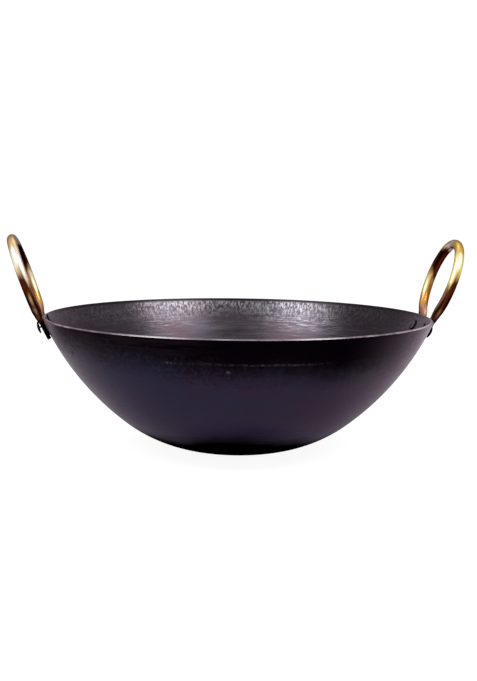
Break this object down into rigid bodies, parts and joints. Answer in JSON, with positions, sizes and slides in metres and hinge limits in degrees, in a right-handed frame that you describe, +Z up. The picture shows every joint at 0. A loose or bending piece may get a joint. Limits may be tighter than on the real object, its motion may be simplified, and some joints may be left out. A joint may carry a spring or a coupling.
{
  "type": "kadai",
  "caption": "Deep round-bottomed sheet iron cooking bowl with upright brass ring handles riveted outside its rim.",
  "frame": {"origin": "centre of the flat resting face under the bowl", "axes": "+X through both ring handles, to the right as the picture shows it; +Y away from the viewer; +Z up, the bowl's axis"},
  "size_m": [0.3505, 0.2996, 0.1643],
  "materials": {
    "seasoned_iron": "spun sheet iron, oiled and blackened, faint turning marks",
    "brass": "bright drawn bar, a little uneven",
    "rivet_iron": "hammered heads, blackened"
  },
  "bodies": {
    "root": {"bowl": "seasoned_iron", "left_handle": "brass", "right_handle": "brass", "left_front_rivet": "rivet_iron", "left_rear_rivet": "rivet_iron", "right_front_rivet": "rivet_iron", "right_rear_rivet": "rivet_iron"}
  },
  "joints": []
}
